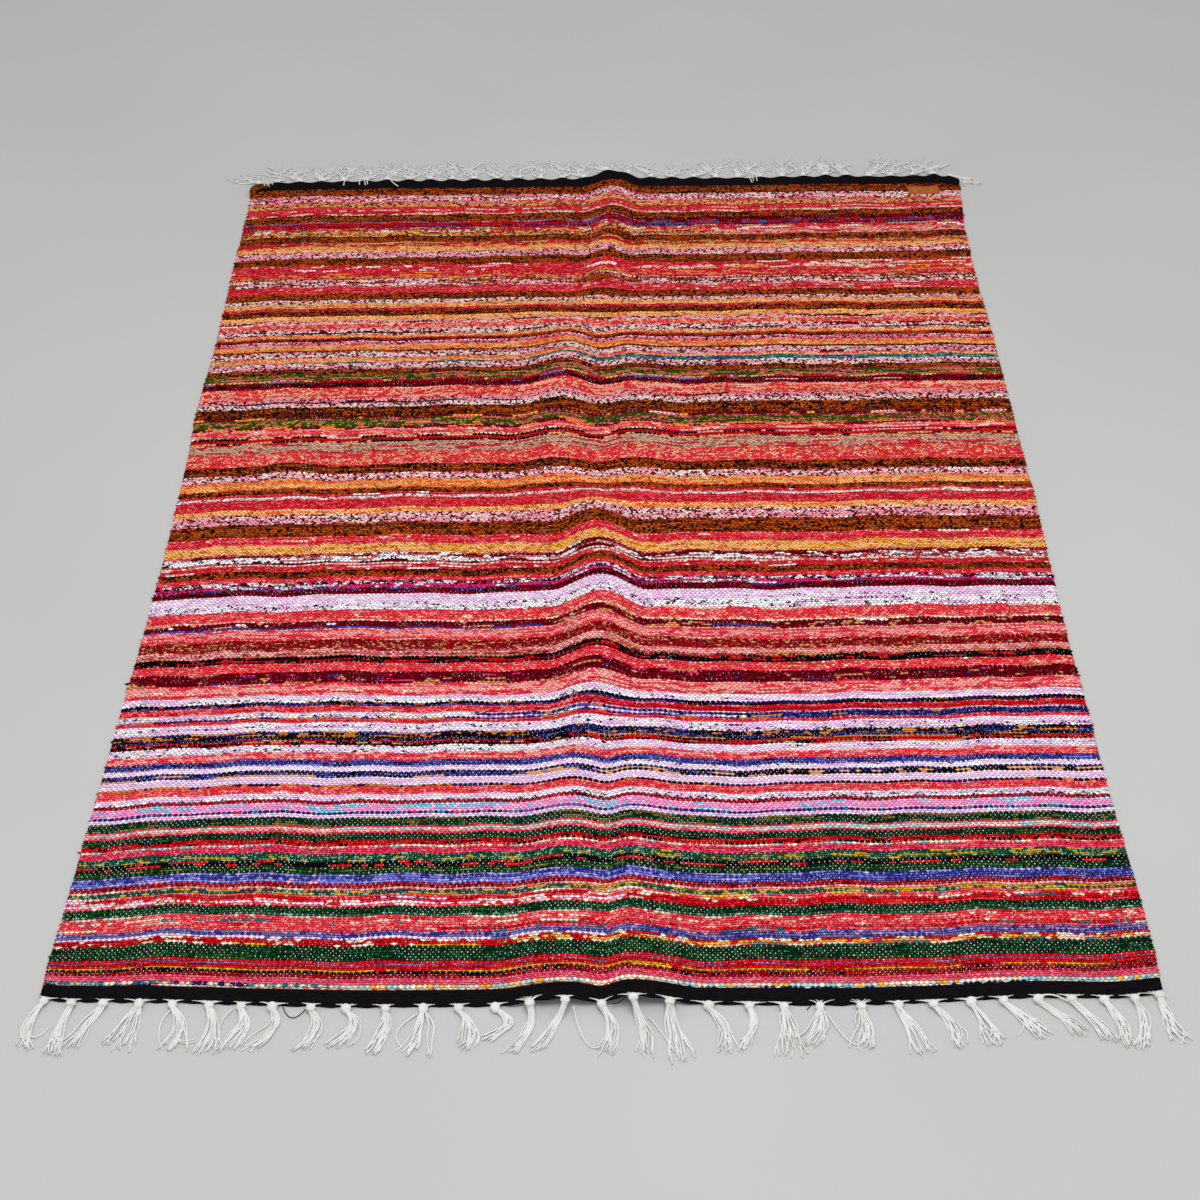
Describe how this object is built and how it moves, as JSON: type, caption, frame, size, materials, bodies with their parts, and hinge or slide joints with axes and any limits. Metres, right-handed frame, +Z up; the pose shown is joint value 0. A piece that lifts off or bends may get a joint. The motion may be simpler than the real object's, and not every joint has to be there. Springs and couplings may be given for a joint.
{
  "type": "striped rag rug",
  "caption": "Flat woven striped rag rug with black woven headings, a knotted white fringe at both ends, a blank leather patch and a soft fold ridge along its middle.",
  "frame": {"origin": "on the floor, under the middle of the whole rug, fringe included", "axes": "+X across the rug to the right, +Y along it from the near end to the far end that carries the patch, +Z up out of the floor"},
  "size_m": [1.4818, 2.1824, 0.0413],
  "materials": {
    "woven_field": "matte woven rag stripes of many colours",
    "black_heading": "matte black ribbed weave",
    "white_fringe": "matte white cotton",
    "tan_leather": "smooth tan leather"
  },
  "bodies": {
    "root": {"rug_field": "woven_field", "near_heading": "black_heading", "far_heading": "black_heading", "near_fringe": "white_fringe", "far_fringe": "white_fringe", "leather_patch": "tan_leather"}
  },
  "joints": []
}
